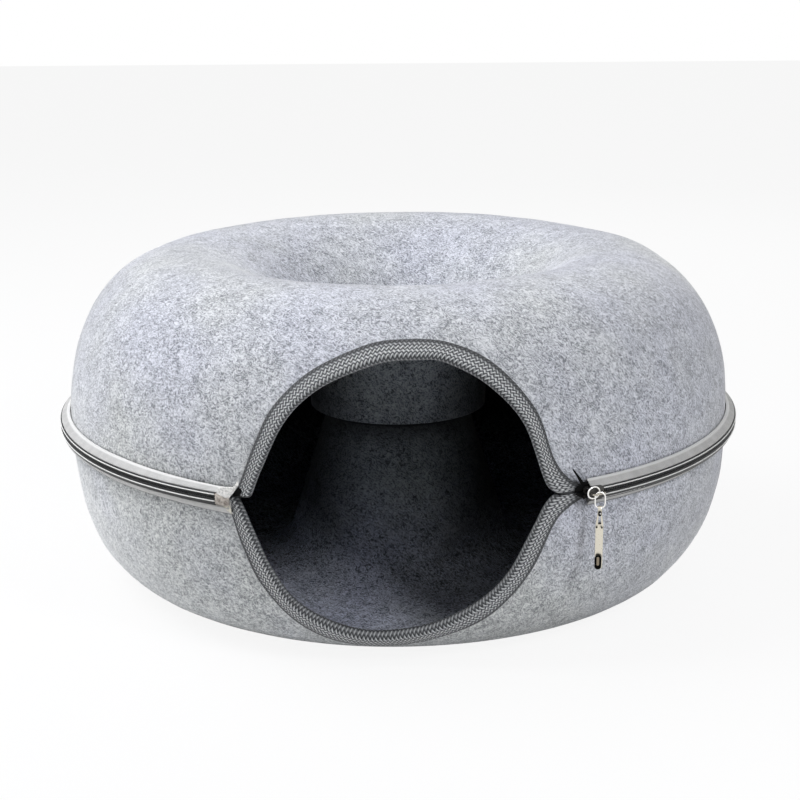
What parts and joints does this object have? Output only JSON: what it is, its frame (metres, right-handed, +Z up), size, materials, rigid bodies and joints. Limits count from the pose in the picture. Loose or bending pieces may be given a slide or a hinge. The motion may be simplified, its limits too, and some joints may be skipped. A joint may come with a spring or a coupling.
{
  "type": "felt cat tunnel",
  "caption": "Ring-shaped felt cat tunnel of two moulded halves zipped together, with a bound round entry, an open centre hole and a hanging zip pull.",
  "frame": {"origin": "centre of the whole object's bounding box at the level of the floor that it rests on", "axes": "+Z up, +X to the right seen from the entry, +Y away from the entry towards the back"},
  "size_m": [0.498, 0.4776, 0.236],
  "materials": {
    "felt_light_grey": "moulded needle felt, light grey melange",
    "woven_grey_binding": "woven binding tape, dark and light grey",
    "pale_grey_tape": "woven zip tape, pale grey",
    "black_nylon_coil": "nylon coil, black",
    "cream_plastic_stop": "cream plastic",
    "nickel_plated_metal": "nickel plated zinc",
    "champagne_plated_metal": "pale champagne plated zinc"
  },
  "bodies": {
    "lower_half": {"lower_shell": "felt_light_grey", "lower_binding": "woven_grey_binding", "lower_zip_tape": "pale_grey_tape", "lower_zip_coil": "black_nylon_coil", "lower_top_stop": "nickel_plated_metal", "bottom_stop": "cream_plastic_stop"},
    "upper_half": {"upper_shell": "felt_light_grey", "upper_binding": "woven_grey_binding", "upper_zip_tape": "pale_grey_tape", "upper_zip_coil": "black_nylon_coil", "upper_top_stop": "nickel_plated_metal"},
    "slider": {"slider_body": "nickel_plated_metal", "slider_bridge": "nickel_plated_metal"},
    "pull_link": {"pull_link": "nickel_plated_metal"},
    "pull_tab": {"pull_tab": "champagne_plated_metal"}
  },
  "joints": [
    {"name": "upper_lift", "type": "slide", "parent": "lower_half", "child": "upper_half", "axis": [0, 0, 1], "range_m": [0, 0.2]},
    {"name": "slider_travel", "type": "hinge", "parent": "lower_half", "child": "slider", "pos_m": [0, -0.01149, 0.1185], "axis": [0, 0, 1], "range_deg": [0, 302]},
    {"name": "link_swing", "type": "hinge", "parent": "slider", "child": "pull_link", "pos_m": [0.12473, -0.23305, 0.1185], "axis": [-0.8714, -0.4906, 0], "range_deg": [-5, 90]},
    {"name": "tab_swing", "type": "hinge", "parent": "pull_link", "child": "pull_tab", "pos_m": [0.12473, -0.23305, 0.1094], "axis": [-0.9952, 0.098, 0], "range_deg": [-5, 90]}
  ]
}
